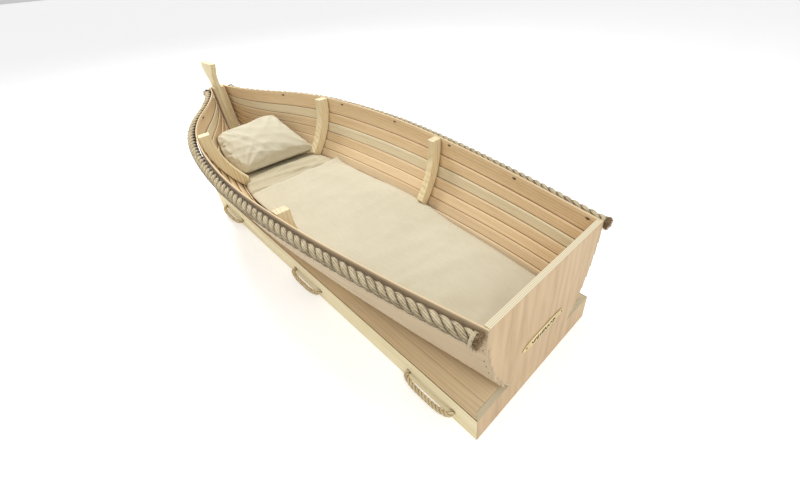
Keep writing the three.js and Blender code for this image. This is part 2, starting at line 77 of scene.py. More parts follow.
# Node graph helpers
class Graph:
    """Small helper to build a material's nodes."""

    def __init__(self, name):
        self.material = bpy.data.materials.new(name)
        self.material.use_nodes = True
        self.tree = self.material.node_tree
        self.tree.nodes.clear()
        self.out = self.node("ShaderNodeOutputMaterial")
        self.shader = self.node("ShaderNodeBsdfPrincipled")
        self.link(self.shader.outputs[0], self.out.inputs["Surface"])

    def node(self, kind, **settings):
        n = self.tree.nodes.new(kind)
        for key, value in settings.items():
            setattr(n, key, value)
        return n

    def link(self, a, b):
        self.tree.links.new(a, b)

    def feed(self, socket, value):
        if hasattr(value, "links"):
            self.link(value, socket)
        else:
            socket.default_value = value

    def coords(self, scale=(1, 1, 1), turn=(0, 0, 0), uv=False):
        source = self.node("ShaderNodeTexCoord").outputs["UV" if uv else "Object"]
        m = self.node("ShaderNodeMapping")
        self.link(source, m.inputs["Vector"])
        m.inputs["Scale"].default_value = scale
        m.inputs["Rotation"].default_value = turn
        return m.outputs[0]

    def noise(self, vector, scale, detail=4.0, rough=0.55, distortion=0.0):
        n = self.node("ShaderNodeTexNoise")
        self.link(vector, n.inputs["Vector"])
        n.inputs["Scale"].default_value = scale
        n.inputs["Detail"].default_value = detail
        n.inputs["Roughness"].default_value = rough
        n.inputs["Distortion"].default_value = distortion
        return n.outputs["Fac"]

    def wave(self, vector, scale, distortion, detail, direction):
        n = self.node("ShaderNodeTexWave", wave_type="BANDS", bands_direction=direction)
        self.link(vector, n.inputs["Vector"])
        n.inputs["Scale"].default_value = scale
        n.inputs["Distortion"].default_value = distortion
        n.inputs["Detail"].default_value = detail
        return n.outputs["Fac"]

    def ramp(self, fac, stops):
        n = self.node("ShaderNodeValToRGB")
        self.link(fac, n.inputs[0])
        elements = n.color_ramp.elements
        while len(elements) < len(stops):
            elements.new(0.5)
        for e, (place, colour) in zip(elements, stops):
            e.position = place
            e.color = (*colour, 1) if len(colour) == 3 else colour
        return n.outputs[0]

    def map_range(self, value, low, high, to_low, to_high):
        n = self.node("ShaderNodeMapRange")
        self.link(value, n.inputs["Value"])
        for key, v in (("From Min", low), ("From Max", high), ("To Min", to_low), ("To Max", to_high)):
            n.inputs[key].default_value = v
        return n.outputs[0]

    def math(self, operation, a, b=0.0):
        n = self.node("ShaderNodeMath", operation=operation)
        self.feed(n.inputs[0], a)
        self.feed(n.inputs[1], b)
        return n.outputs[0]

    def mix(self, fac, a, b, blend="MIX"):
        n = self.node("ShaderNodeMix", data_type="RGBA", blend_type=blend)
        self.feed(n.inputs["Factor"], fac)
        for socket, value in ((n.inputs[6], a), (n.inputs[7], b)):
            if isinstance(value, tuple):
                socket.default_value = (*value, 1)
            else:
                self.link(value, socket)
        return n.outputs[2]

    def bump(self, height, strength, distance, normal=None):
        n = self.node("ShaderNodeBump")
        self.link(height, n.inputs["Height"])
        n.inputs["Strength"].default_value = strength
        n.inputs["Distance"].default_value = distance
        if normal is not None:
            self.link(normal, n.inputs["Normal"])
        return n.outputs[0]

    def axis(self, vector, index):
        split = self.node("ShaderNodeSeparateXYZ")
        self.link(vector, split.inputs[0])
        return split.outputs[index]

    def weighted(self, *parts):
        """Sum of values, each times its share."""
        total = self.math("MULTIPLY", *parts[0])
        for value, share in parts[1:]:
            total = self.math("ADD", total, self.math("MULTIPLY", value, share))
        return total

    def shaded(self, colour, dark, distance, low, high, share):
        """The colour with painted shade: darkened by ambient occlusion where the surface is closed in."""
        n = self.node("ShaderNodeAmbientOcclusion")
        n.inputs["Distance"].default_value = distance
        return self.mix(self.map_range(n.outputs["AO"], low, high, share, 0.0), colour, dark, "MULTIPLY")

    def surface(self, colour, roughness, specular=None, sheen=None, metallic=None):
        values = {"Base Color": colour, "Roughness": roughness, "Specular IOR Level": specular,
                  "Sheen Weight": sheen, "Metallic": metallic}
        for name, value in values.items():
            if value is not None:
                self.feed(self.shader.inputs[name], value)

    def relief(self, height, strength, distance, under=None):
        self.link(self.bump(height, strength, distance, under), self.shader.inputs["Normal"])


def srgb(r, g, b):
    def lin(c):
        c /= 255
        return c / 12.92 if c <= 0.04045 else ((c + 0.055) / 1.055) ** 2.4
    return (lin(r), lin(g), lin(b))


# Points round a plank's section, and the one where its outer face starts
SECTION_POINTS = 18
OUTER_START = 8


def wood(name, light, mid, dark, grain_axis="x", seed=0.0, rough=0.62, beyond=None, outside_shade=None):
    """Bare wood with long grain along one axis of the part, or along a plank's own length."""
    g = Graph(name)
    stretch = {"x": (0.8, 15, 15), "y": (15, 0.8, 15), "z": (15, 15, 0.8), "uv": (4.0, 0.8, 15)}[grain_axis]
    across = {"x": "Y", "y": "X", "z": "Y", "uv": "X"}[grain_axis]
    shifted = g.node("ShaderNodeMapping")
    g.link(g.coords(scale=stretch, uv=grain_axis == "uv"), shifted.inputs["Vector"])
    shifted.inputs["Location"].default_value = (seed * 3.1, seed * 1.7, seed * 2.3)
    v = shifted.outputs[0]
    broad = g.noise(v, 0.9, 3.0, 0.5, 0.8)
    fine = g.noise(v, 16.0, 6.0, 0.66, 0.2)
    rings = g.wave(v, 1.7, 9.0, 4.0, across)
    blend = g.weighted((rings, 0.16), (fine, 0.42), (broad, 0.52))
    colour = g.ramp(blend, ((0.34, dark), (0.53, mid), (0.74, light)))
    if beyond is not None:
        tones, place = beyond
        other = g.ramp(blend, ((0.34, tones[2]), (0.53, tones[1]), (0.74, tones[0])))
        colour = g.mix(g.map_range(g.axis(g.coords(), 0), place, place + 0.001, 1.0, 0.0), colour, other)
    # painted shade: a plank's outer faces are darkened by this factor
    if outside_shade is not None:
        start, end = (OUTER_START - 0.4) / SECTION_POINTS, (OUTER_START + 0.4) / SECTION_POINTS
        outer = g.map_range(g.axis(g.coords(uv=True), 0), start, end, 0.0, 1.0)
        colour = g.mix(outer, colour, g.mix(1.0, colour, outside_shade, "MULTIPLY"))
    blotch = g.noise(g.coords(), 3.1, 2.0, 0.5)
    colour = g.mix(g.map_range(blotch, 0.35, 0.7, 0.0, 0.35 if outside_shade is None else 0.2), colour, light)
    # painted shade: the wood is darkened by ambient occlusion in corners and where parts meet
    colour = g.shaded(colour, dark, 0.035, 0.0, 0.7, 0.6)
    g.surface(colour, g.map_range(fine, 0.3, 0.7, rough - 0.06, rough + 0.08), specular=0.25)
    g.relief(g.weighted((fine, 0.7), (rings, 0.3)), 0.20, 0.0008)
    return g.material


def rope_material(name, tones, twist=103.0, shade_reach=0.016, shade_share=0.9, underside_shade=0.75):
    """Laid natural fibre: yarns wound round each strand against its lay, with painted shade from ambient
    occlusion darkening the gaps between strands.
    """
    light, mid, dark = (srgb(*tone) for tone in tones)
    yarns = 9.0
    g = Graph(name)
    wound = g.coords(scale=(yarns, twist, 1), uv=True)
    phase = g.math("SUBTRACT", g.axis(wound, 0), g.axis(wound, 1))
    yarn = g.math("ABSOLUTE", g.math("SINE", g.math("MULTIPLY", phase, math.pi)))
    fibre = g.noise(g.coords(), 520.0, 5.0, 0.75)
    broad = g.noise(g.coords(), 46.0, 3.0, 0.6)
    tone = g.weighted((yarn, 0.18), (fibre, 0.50), (broad, 0.36))
    colour = g.ramp(tone, ((0.34, dark), (0.52, mid), (0.72, light)))
    # painted shade: the colour is darkened towards the underside, where less light falls from above
    facing = g.axis(g.node("ShaderNodeNewGeometry").outputs["Normal"], 2)
    colour = g.mix(g.map_range(facing, -0.35, 0.85, underside_shade, 0.0), colour, dark, "MULTIPLY")
    # painted shade in the gaps between strands and where the rope meets other parts
    colour = g.shaded(colour, dark, shade_reach, 0.35, 0.95, shade_share)
    g.surface(colour, 0.93, specular=0.12, sheen=0.15)
    g.relief(g.weighted((yarn, 0.45), (fibre, 0.55)), 0.8, 0.0012)
    return g.material


def canvas(name, light, dark, fold=0.35):
    """Unbleached plain-weave cotton."""
    g = Graph(name)
    v = g.coords()
    threads = 1500.0 / 6.28
    weave = g.math("MULTIPLY", *(g.wave(v, threads, 0.4, 1.0, way) for way in "XY"))
    slub = g.noise(g.coords(scale=(30, 420, 60)), 1.0, 3.0, 0.6)
    broad = g.noise(v, 3.2, 4.0, 0.55)
    tone = g.weighted((slub, 0.45), (broad, 0.45), (weave, 0.12))
    colour = g.ramp(tone, ((0.28, dark), (0.62, light)))
    # painted shade: the cloth is darkened by ambient occlusion in folds and where it meets other parts
    g.surface(g.shaded(colour, dark, 0.05, 0.0, 0.8, 0.5), 0.95, specular=0.1, sheen=0.2)
    wrinkle = g.noise(g.coords(scale=(9, 26, 14)), 1.0, 3.0, 0.5, 0.8)
    small = g.bump(g.weighted((weave, 0.12), (slub, 0.20)), 0.35, 0.0006)
    g.relief(wrinkle, fold, 0.006, small)
    return g.material


def metal(name, colour, rough):
    g = Graph(name)
    spots = g.noise(g.coords(), 900.0, 3.0, 0.6)
    dull = tuple(c * 0.6 for c in colour)
    g.surface(g.ramp(spots, ((0.35, dull), (0.65, colour))),
              g.map_range(spots, 0.3, 0.7, rough - 0.1, rough + 0.1), metallic=0.9)
    return g.material


PLANK_TONES = (srgb(240, 217, 180), srgb(228, 202, 161), srgb(202, 171, 129))
PALE_TONES = (srgb(240, 231, 202), srgb(230, 217, 184), srgb(206, 190, 154))
PINE_TONES = (srgb(240, 227, 188), srgb(228, 212, 168), srgb(202, 180, 134))
PLY_TONES = (srgb(218, 192, 154), srgb(204, 176, 138), srgb(178, 148, 112))


# Hull form, as it is in the solids: u from transom (0) to stem (1), t from bottom edge (0) to sheer (1)
def through(points):
    last = len(points) - 1

    def slope(i):
        a, b = points[max(i - 1, 0)], points[min(i + 1, last)]
        return (b[1] - a[1]) / (b[0] - a[0])

    slopes = [slope(i) for i in range(last + 1)]

    def value(d):
        i = max(0, min(last - 1, next((n for n, p in enumerate(points) if p[0] > d), last) - 1))
        span = points[i + 1][0] - points[i][0]
        k = min(1.0, max(0.0, (d - points[i][0]) / span))
        ease = k * k * (3 - 2 * k)
        out = k * (1 - k) ** 2 * span * slopes[i]
        back = k * k * (1 - k) * span * slopes[i + 1]
        return points[i][1] + (points[i + 1][1] - points[i][1]) * ease + out - back

    return value


sheer_breadth = through([
    (0, 256), (326, 311), (695, 357), (1030, 374), (1330, 352), (1560, 305),
    (1730, 233), (1890, 131), (2030, 57), (2110, 35), (2130, 33.8),
])
bottom_breadth = through([
    (0, 147), (400, 181), (950, 203), (1450, 160), (1750, 84), (1930, 48), (2060, 34.5), (2130, 33.8),
])
STRAKE_EDGES = (0, 0.13, 0.25, 0.355, 0.465, 0.575, 0.69, 0.81, 1)
STRAKE_SAG = 0.42
LAP = 0.04
LAP_GAP = 0.0009
DECK = 0.0964
STEM_RAKE = 0.045


def sheer_height(u):
    return SHEER_HEIGHT + SHEER_RISE * u ** 3


def keel_height(u):
    k = max(0.0, (u - 0.6) / 0.4)
    return DECK + 0.110 * k ** 3.5


def hull_point(u, t, offset=0.0):
    d = u * SHEER_LENGTH * 1000
    bottom = Vector((bottom_breadth(d) / 1000, keel_height(u)))
    top = Vector((sheer_breadth(d) / 1000, sheer_height(u)))
    fullness = 1.03 + (0.86 - 1.03) * u ** 4
    bilge = Vector((bottom.x + fullness * (top.x - bottom.x), bottom.y + 0.47 * (top.y - bottom.y)))
    p = bottom * (1 - t) ** 2 + bilge * (2 * t * (1 - t)) + top * t ** 2
    along = ((bilge - bottom) * (1 - t) + (top - bilge) * t).normalized()
    x = u * SHEER_LENGTH - STEM_RAKE * (1 - t) ** 2 * u ** 10
    z = max(p.y - along.x * offset, bottom.y)
    return Vector((FOOT_X - x, p.x + along.y * offset, z))


def strake_edge(n, u):
    t = STRAKE_EDGES[n]
    return t - STRAKE_SAG * math.sin(math.pi * u) ** 2 * t * (1 - t) ** 1.5


def parameter_at(u, height, offset=0.0):
    """The t at which the hull reaches a height."""
    low, high = 0.0, 1.0
    for _ in range(26):
        middle = (low + high) / 2
        if hull_point(u, middle, offset).z < height:
            low = middle
        else:
            high = middle
    return low


def breadth_at(d, height):
    u = d / SHEER_LENGTH
    return hull_point(u, parameter_at(u, height)).y


# Mesh helpers
def new_object(name, mesh, material):
    obj = bpy.data.objects.new(name, mesh)
    bpy.context.collection.objects.link(obj)
    if material is not None:
        mesh.materials.append(material)
    return obj


def from_bmesh(name, bm):
    """Mesh made of a bmesh, which is freed."""
    mesh = bpy.data.meshes.new(name)
    bm.to_mesh(mesh)
    bm.free()
    return mesh


def bridge(bm, a, b):
    """Faces between two closed rings of vertices."""
    for i in range(len(a)):
        j = (i + 1) % len(a)
        bm.faces.new((a[i], a[j], b[j], b[i]))


def capped(bm, rings):
    """Closed skin over rings of vertices."""
    for a, b in zip(rings, rings[1:]):
        bridge(bm, a, b)
    bm.faces.new(rings[-1])
    bm.faces.new(list(reversed(rings[0])))


def prism(name, near, far, angle):
    """Closed mesh between two outlines of points, with sharp edges above the angle."""
    bm = bmesh.new()
    near = [bm.verts.new(p) for p in near]
    far = [bm.verts.new(p) for p in far]
    bm.faces.new(near)
    bm.faces.new(list(reversed(far)))
    for i in range(len(near)):
        j = (i + 1) % len(near)
        bm.faces.new((near[j], near[i], far[i], far[j]))
    mesh = from_bmesh(name, bm)
    soften(mesh, angle)
    return mesh


def soften(mesh, angle=35.0):
    """Smooth faces with sharp edges where two faces meet at more than the angle."""
    bm = bmesh.new()
    bm.from_mesh(mesh)
    bmesh.ops.recalc_face_normals(bm, faces=bm.faces)
    limit = math.radians(angle)
    for f in bm.faces:
        f.smooth = True
    for e in bm.edges:
        e.smooth = not (len(e.link_faces) == 2 and e.calc_face_angle(0.0) > limit)
    bm.to_mesh(mesh)
    bm.free()


def add_bevel(obj, width, segments=2, angle=35.0):
    mod = obj.modifiers.new("edges", "BEVEL")
    mod.width = width
    mod.segments = segments
    mod.limit_method = "ANGLE"
    mod.angle_limit = math.radians(angle)
    mod.harden_normals = True


def board(node, material, slot, bevel=0.0012):
    """A detailed copy of a board: the same faces with eased edges."""
    source = bpy.data.objects[node]
    mesh = source.data.copy()
    mesh.materials.clear()
    obj = new_object(f"{node}_board", mesh, material)
    bm = bmesh.new()
    bm.from_mesh(mesh)
    bmesh.ops.remove_doubles(bm, verts=bm.verts, dist=1e-5)
    bmesh.ops.dissolve_limit(bm, angle_limit=math.radians(0.5), verts=bm.verts, edges=bm.edges)
    bm.to_mesh(mesh)
    bm.free()
    soften(mesh)
    add_bevel(obj, bevel)
    finish_piece(obj, slot, node)


def finish_piece(obj, slot, *nodes):
    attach(obj, "root")
    if nodes:
        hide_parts(*nodes)
    return obj


def add_piece(name, bm, material, slot, smooth=True):
    """Visible piece made of a bmesh, for a detail that the solids leave out."""
    mesh = from_bmesh(name, bm)
    if smooth:
        shade_smooth(mesh)
    return finish_piece(new_object(name, mesh, material), slot)


def tube(name, rings):
    """Skin over rings of points, with UVs: around (0 to 1) and along (metres)."""
    sides = len(rings[0])
    verts = [p for ring in rings for p in ring]
    faces, uvs = [], []
    along = 0.0
    for i in range(len(rings) - 1):
        a_mid = sum(rings[i], Vector()) / sides
        b_mid = sum(rings[i + 1], Vector()) / sides
        step = (b_mid - a_mid).length
        for j in range(sides):
            k = (j + 1) % sides
            faces.append((i * sides + j, i * sides + k, (i + 1) * sides + k, (i + 1) * sides + j))
            u0, u1 = j / sides, (j + 1) / sides
            uvs += [(u0, along), (u1, along), (u1, along + step), (u0, along + step)]
        along += step
    for start, flip in ((0, True), ((len(rings) - 1) * sides, False)):
        loop = [start + j for j in range(sides)]
        faces.append(tuple(reversed(loop)) if flip else tuple(loop))
        uvs += [(0.5, 0.0)] * sides
    mesh = bpy.data.meshes.new(name)
    mesh.from_pydata([tuple(v) for v in verts], [], faces)
    layer = mesh.uv_layers.new(name="UVMap")
    for n, uv in enumerate(uvs):
        layer.data[n].uv = uv
    mesh.update()
    shade_smooth(mesh)
    return mesh


def frames_along(points):
    """Tangent, side and up vectors along a path, without twist."""
    result = []
    up = Vector((0, 0, 1))
    for i, p in enumerate(points):
        tangent = (points[min(i + 1, len(points) - 1)] - points[max(i - 1, 0)]).normalized()
        side = tangent.cross(up).normalized()
        up = side.cross(tangent).normalized()
        result.append((p, tangent, side, up))
    return result


def resample(points, step):
    """Points at equal steps along a path."""
    lengths = [0.0]
    for a, b in zip(points, points[1:]):
        lengths.append(lengths[-1] + (b - a).length)
    total = lengths[-1]
    count = max(2, round(total / step))
    out, i = [], 0
    for n in range(count + 1):
        want = total * n / count
        while i < len(lengths) - 2 and lengths[i + 1] < want:
            i += 1
        span = lengths[i + 1] - lengths[i]
        k = 0.0 if span == 0 else (want - lengths[i]) / span
        out.append(points[i].lerp(points[i + 1], min(1.0, k)))
    return out, total


def catmull(points, per_span=10):
    out = []
    pts = [points[0] * 2 - points[1]] + list(points) + [points[-1] * 2 - points[-2]]
    for i in range(1, len(pts) - 2):
        p0, p1, p2, p3 = pts[i - 1:i + 3]
        for s in range(per_span):
            k = s / per_span
            out.append(0.5 * ((2 * p1) + (p2 - p0) * k + (2 * p0 - 5 * p1 + 4 * p2 - p3) * k ** 2
                              + (3 * p1 - p0 - 3 * p2 + p3) * k ** 3))
    out.append(points[-1].copy())
    return out


def apply_modifier(obj, mod):
    bpy.context.view_layer.update()
    depsgraph = bpy.context.evaluated_depsgraph_get()
    mesh = bpy.data.meshes.new_from_object(obj.evaluated_get(depsgraph))
    old = obj.data
    obj.modifiers.remove(mod)
    mesh.materials.clear()
    for m in old.materials:
        mesh.materials.append(m)
    obj.data = mesh
    bpy.data.meshes.remove(old)


def subdivide(obj):
    mod = obj.modifiers.new("subdivision", "SUBSURF")
    mod.levels = 1
    mod.render_levels = 1


def shade_smooth(mesh):
    for p in mesh.polygons:
        p.use_smooth = True


# Planks of the hull
PLANK_STATIONS = 96
EDGE_ROUND = 0.0012
EDGE_STEP = 0.0034
# Past this distance from the foot the pale tone is on the next plank up
TONE_CHANGE = 1.530
# Painted shade: the planks' outer faces are darkened by this factor, standing in for the shade on the hull's
# outside
OUTSIDE_SHADE = (0.66, 0.67, 0.70)


def plank_ring(n, u, side):
    low, high = strake_edge(n, u), strake_edge(n + 1, u)
    foot = max(0.0, low - LAP)
    knee = foot + LAP
    narrow = 1.0 if n == 0 else min(high - low, low - strake_edge(n - 1, u))
    push = 0.0 if n == 0 else (PLANK + LAP_GAP) * (1 + LAP / narrow)
    knee_push = push * (high - knee) / (high - foot)

    def lean(t):
        if t <= knee:
            k = (t - foot) / (knee - foot)
            return push + (knee_push - push) * k
        return knee_push * (high - t) / (high - knee)

    steps = 6
    ts = [foot + EDGE_STEP + (high - foot - 2 * EDGE_STEP) * i / steps for i in range(steps + 1)]
    ring = [(t, lean(t)) for t in ts]
    ring.append((high, lean(high) + EDGE_ROUND))
    ring.append((high, lean(high) + PLANK - EDGE_ROUND))
    ring += [(t, lean(t) + PLANK) for t in reversed(ts)]
    ring.append((foot, lean(foot) + PLANK - EDGE_ROUND))
    ring.append((foot, lean(foot) + EDGE_ROUND))
    points = [hull_point(u, t, offset) for t, offset in ring]
    return [Vector((p.x, p.y * side, p.z)) for p in points]


def make_planks():
    materials = []
    change = FOOT_X - TONE_CHANGE
    for n in range(8):
        tones = PALE_TONES if n == 5 else PLANK_TONES
        beyond = {5: (PLANK_TONES, change), 6: (PALE_TONES, change)}.get(n)
        shift = (0.0, 0.03, -0.03, 0.02, -0.02, 0.0, 0.03, 0.0)[n]
        tones = tuple(tuple(c * (1 + shift) for c in tone) for tone in tones)
        materials.append(wood(f"plank_{n + 1}", *tones, grain_axis="uv", seed=n * 1.7, rough=0.6,
                              beyond=beyond, outside_shade=OUTSIDE_SHADE))
    for n in range(8):
        for name, side in SIDES:
            rings = [plank_ring(n, i / PLANK_STATIONS, side) for i in range(PLANK_STATIONS + 1)]
            mesh = tube(f"plank_{n + 1}_{name}", rings)
            soften(mesh, 50)
            pale = n == 5 and name == "starboard"
            obj = new_object(f"plank_{n + 1}_{name}", mesh, materials[n] if n != 5 or pale else materials[4])
            slot = "pale_plank" if pale else "plank"
            finish_piece(obj, slot, f"strake_{n + 1}_{name}")


def make_lap_lines():
    """Painted shadow: a dark line where the top edge of each plank meets the inner face of the next one up.
    """
    shade = wood("lap_shadow", srgb(150, 118, 82), srgb(128, 98, 66), srgb(100, 74, 48), rough=0.8)
    for name, side in SIDES:
        bm = bmesh.new()
        for n in range(1, 8):
            rows = []
            for i in range(PLANK_STATIONS + 1):
                u = max(0.0087, 0.995 * i / PLANK_STATIONS)
                low, high = strake_edge(n, u), strake_edge(n + 1, u)
                row = []
                for t, lift in ((low + 0.0005, 0.0001), (low + 0.0050, 0.0001), (low + 0.0050, -0.0004),
                                (low + 0.0005, -0.0004)):
                    p = hull_point(u, t, lean_at(n, u, t, low, high) - lift - 0.0003)
                    row.append(bm.verts.new((p.x, p.y * side, p.z)))
                rows.append(row)
            for a, b in zip(rows, rows[1:]):
                bridge(bm, a, b)
            bm.faces.new(rows[0])
            bm.faces.new(list(reversed(rows[-1])))
        bmesh.ops.remove_doubles(bm, verts=bm.verts, dist=1e-7)
        bmesh.ops.recalc_face_normals(bm, faces=bm.faces)
        add_piece(f"lap_lines_{name}", bm, shade, "plank", smooth=False)


def lean_at(n, u, t, low, high):
    """How far a plank's inner face stands out from the hull's line."""
    narrow = 1.0 if n == 0 else min(high - low, low - strake_edge(n - 1, u))
    push = 0.0 if n == 0 else (PLANK + LAP_GAP) * (1 + LAP / narrow)
    foot = max(0.0, low - LAP)
    return push * (high - t) / (high - foot)


make_planks()
make_lap_lines()


# Flat boards in an upright plane, with eased edges
def upright_board(name, profile, y_low, y_high, material, node, bevel):
    near, far = ([(x, y, z) for x, z in profile] for y in (y_low, y_high))
    obj = new_object(name, prism(name, near, far, 25), material)
    add_bevel(obj, bevel, 3, 30)
    finish_piece(obj, "pine", node)


def cubic(a, b, c, d, steps):
    points = []
    for i in range(steps + 1):
        k = i / steps
        w = ((1 - k) ** 3, 3 * k * (1 - k) ** 2, 3 * k * k * (1 - k), k ** 3)
        points.append(tuple(sum(wi * p[axis] for wi, p in zip(w, (a, b, c, d))) for axis in (0, 1)))
    return points


def keel_point(u):
    return (-u * SHEER_LENGTH * 1000 + 45 * u ** 10, keel_height(u) * 1000)


def make_stem():
    end, height = keel_point(0.95)
    heel = end - 0.8
    apron_top, apron_foot = (-2088, 466), (-2062, 255)
    apron = cubic((heel, height + 14), (heel - 30, height + 40), (apron_foot[0] + 4, apron_foot[1] - 35),
                  apron_foot, 10)
    gripe = cubic((-2157, 467), (-2162, 280), (-2150, 95), (-1732, 97.5), 30)
    aft = [(-2097, 498), (-2092, 526), (-2072, 561), (-2053, 592)]
    fore = [(-2194, 586), (-2207, 558), (-2195, 532), (-2181, 510), (-2162, 491), (-2157, 467)]
    aft = smooth_profile([apron_top] + aft)[1:]
    fore = smooth_profile(fore)
    keel = [keel_point(0.83 + 0.03 * i) for i in range(4)]
    keel = [(x, z - 0.8) for x, z in keel]
    profile = [apron_top, *aft, *fore, *gripe[1:], (-1732, 104), *keel, (heel, height - 0.8),
               *apron[:-1], apron_foot]
    pine = wood("stem_pine", *PINE_TONES, grain_axis="z", seed=2.0, rough=0.6)
    cheek_pine = wood("cheek_pine", srgb(236, 217, 180), srgb(222, 200, 158), srgb(188, 158, 114),
                      grain_axis="z", seed=5.0, rough=0.65)
    placed = [(FOOT_X + x / 1000, z / 1000) for x, z in profile]
    upright_board("stem_board", placed, -0.013, 0.013, pine, "stem", 0.0022)
    hoods = [hull_point(1, 1 - i / 12) for i in range(13)]
    lowest = hoods[-1].z
    cheek = [(FOOT_X + apron_top[0] / 1000, apron_top[1] / 1000)]
    cheek += [(p.x - 0.006, p.z) for p in hoods]
    cheek += [(FOOT_X + heel / 1000, lowest - 0.040)]
    cheek += [(FOOT_X + x / 1000, z / 1000) for x, z in apron]
    for name, side in SIDES:
        edges = sorted((0.0134 * side, 0.0292 * side))
        upright_board(f"stem_cheek_board_{name}", cheek, *edges, cheek_pine, f"stem_cheek_{name}", 0.0018)


def smooth_profile(points):
    pts = catmull([Vector((x, z, 0)) for x, z in points], 4)
    return [(p.x, p.y) for p in pts]


make_stem()


FRAME_STEPS = 26


def frame_line(u, foot_depth, depth, height):
    """Edge of a frame from a height up to the sheer, at a depth inside the hull that may grow."""
    low = parameter_at(u, height, -foot_depth)
    return [hull_point(u, low + (1 - low) * i / FRAME_STEPS,
                       (foot_depth - depth) * i / FRAME_STEPS - foot_depth)
            for i in range(FRAME_STEPS + 1)]


def make_frames():
    pine = wood("frame_pine", srgb(241, 228, 193), srgb(229, 212, 171), srgb(198, 176, 131),
                grain_axis="z", seed=8.0, rough=0.6)
    for number, distance in enumerate(FRAME_DISTANCES):
        for name, side in SIDES:
            rings = []
            for d in (distance - FRAME_WIDTH // 2, distance + FRAME_WIDTH // 2):
                u = d / 1000 / SHEER_LENGTH
                points = frame_line(u, 0.0025, 0.0025, MATTRESS_TOP - 0.020)
                points += frame_line(u, 0.040, 0.0475, MATTRESS_TOP + 0.021)[::-1]
                rings.append([Vector((FOOT_X - d / 1000, p.y * side, p.z)) for p in points])
            obj = new_object(f"rib_{number + 1}_{name}", prism("frame", *rings, 25), pine)
            add_bevel(obj, 0.0018, 3, 30)
            finish_piece(obj, "pine", f"frame_{number + 1}_{name}")


make_frames()


# Boards of the base, and the transom
PLY_THICKNESS = 0.0045


def plywood(name, tones):
    """Transom board: face grain on its faces and thin plies along its edges."""
    g = Graph(name)
    light, mid, dark = tones
    v = g.coords(scale=(10, 13, 1.9), turn=(0.22, 0.0, 0.0))
    broad = g.noise(v, 1.4, 3.0, 0.55, 1.2)
    fine = g.noise(g.coords(scale=(60, 130, 7), turn=(0.16, 0, 0)), 1.0, 5.0, 0.66, 0.4)
    rings = g.wave(g.coords(scale=(3, 3.4, 0.7)), 2.2, 9.0, 3.0, "Y")
    tone = g.weighted((rings, 0.08), (fine, 0.46), (broad, 0.50))
    face = g.ramp(tone, ((0.30, dark), (0.52, mid), (0.76, light)))
    plies = g.math("SINE", g.math("MULTIPLY", g.axis(g.coords(), 0), 2 * math.pi / PLY_THICKNESS))
    edge = g.ramp(g.map_range(plies, -1.0, 1.0, 0.0, 1.0),
                  ((0.02, srgb(196, 178, 140)), (0.22, srgb(218, 204, 172)), (0.9, srgb(228, 219, 192))))
    facing = g.math("ABSOLUTE", g.axis(g.node("ShaderNodeNewGeometry").outputs["Normal"], 0))
    colour = g.mix(g.map_range(facing, 0.45, 0.75, 0.0, 1.0), edge, face)
    # painted shade: the board is darkened by ambient occlusion where it is closed in
    colour = g.shaded(colour, dark, 0.05, 0.0, 0.75, 0.25)
    g.surface(colour, g.map_range(fine, 0.3, 0.7, 0.52, 0.66), specular=0.32)
    g.relief(g.math("MULTIPLY", fine, 0.8), 0.18, 0.0008)
    return g.material


def make_transom(material):
    """One board: its upper part fits the planks' inner faces, its foot is the base's end board."""
    half = [Vector((BASE_HALF, 0.0)), Vector((BASE_HALF, BASE_TOP))]
    for n in range(8):
        u = 0.0
        low, high = strake_edge(n, u), strake_edge(n + 1, u)
        for i in range(5):
            t = low + (high - low) * i / 4
            p = hull_point(u, t, lean_at(n, u, t, low, high) - 0.0002)
            half.append(Vector((p.y, max(p.z, BASE_TOP + 0.0004))))
    outline = half + [Vector((-p.x, p.y)) for p in reversed(half)]
    front = [(FOOT_X, p.x, p.y) for p in outline]
    back = []
    for p in outline:
        mitre = BOARD if abs(p.x) > BASE_HALF - 1e-6 else 0.0
        back.append((FOOT_X - BOARD, p.x - math.copysign(mitre, p.x), p.y))
    obj = new_object("transom_board", prism("transom_board", front, back, 30), material)
    add_bevel(obj, 0.0008, 2, 40)
    finish_piece(obj, "plywood", "transom")


def make_mitre_lines():
    """Painted shadow: a dark strip along each long top arris of the base, where the mitre's shadow gap is."""
    mitre_shadow = wood("mitre_gap_shadow", srgb(150, 118, 80), srgb(118, 88, 56), srgb(88, 62, 38), rough=0.8)
    for name, side in SIDES:
        bm = bmesh.new()
        size = Matrix.Diagonal((BASE_LENGTH - 0.004, 0.0022, 0.0010, 1))
        centre = Vector((FOOT_X - BASE_LENGTH / 2, side * (BASE_HALF - 0.0012), BASE_TOP - 0.0002))
        bmesh.ops.create_cube(bm, size=1.0, matrix=Matrix.Translation(centre) @ size)
        add_piece(f"mitre_line_{name}", bm, mitre_shadow, "pine", smooth=False)


def make_boards():
    ply = plywood("transom_ply", PLY_TONES)
    pine_x = wood("base_pine", *PINE_TONES, grain_axis="x", seed=1.0, rough=0.6)
    pine_y = wood("base_pine_end", *PINE_TONES, grain_axis="y", seed=3.0, rough=0.6)
    deck = wood("deck_pine", srgb(236, 215, 177), srgb(226, 203, 162), srgb(207, 178, 136),
                grain_axis="x", seed=4.0, rough=0.6)
    make_transom(ply)
    board("bottom_board", ply, "plywood", 0.0008)
    board("base_end_head", pine_y, "pine", 0.0010)
    board("base_bottom_panel", pine_x, "pine", 0.0008)
    board("deck_panel", deck, "pine", 0.0006)
    for name, _ in SIDES:
        board(f"base_side_{name}", pine_x, "pine", 0.0009)
        board(f"deck_edge_{name}", deck, "pine", 0.0011)
    make_mitre_lines()


make_boards()


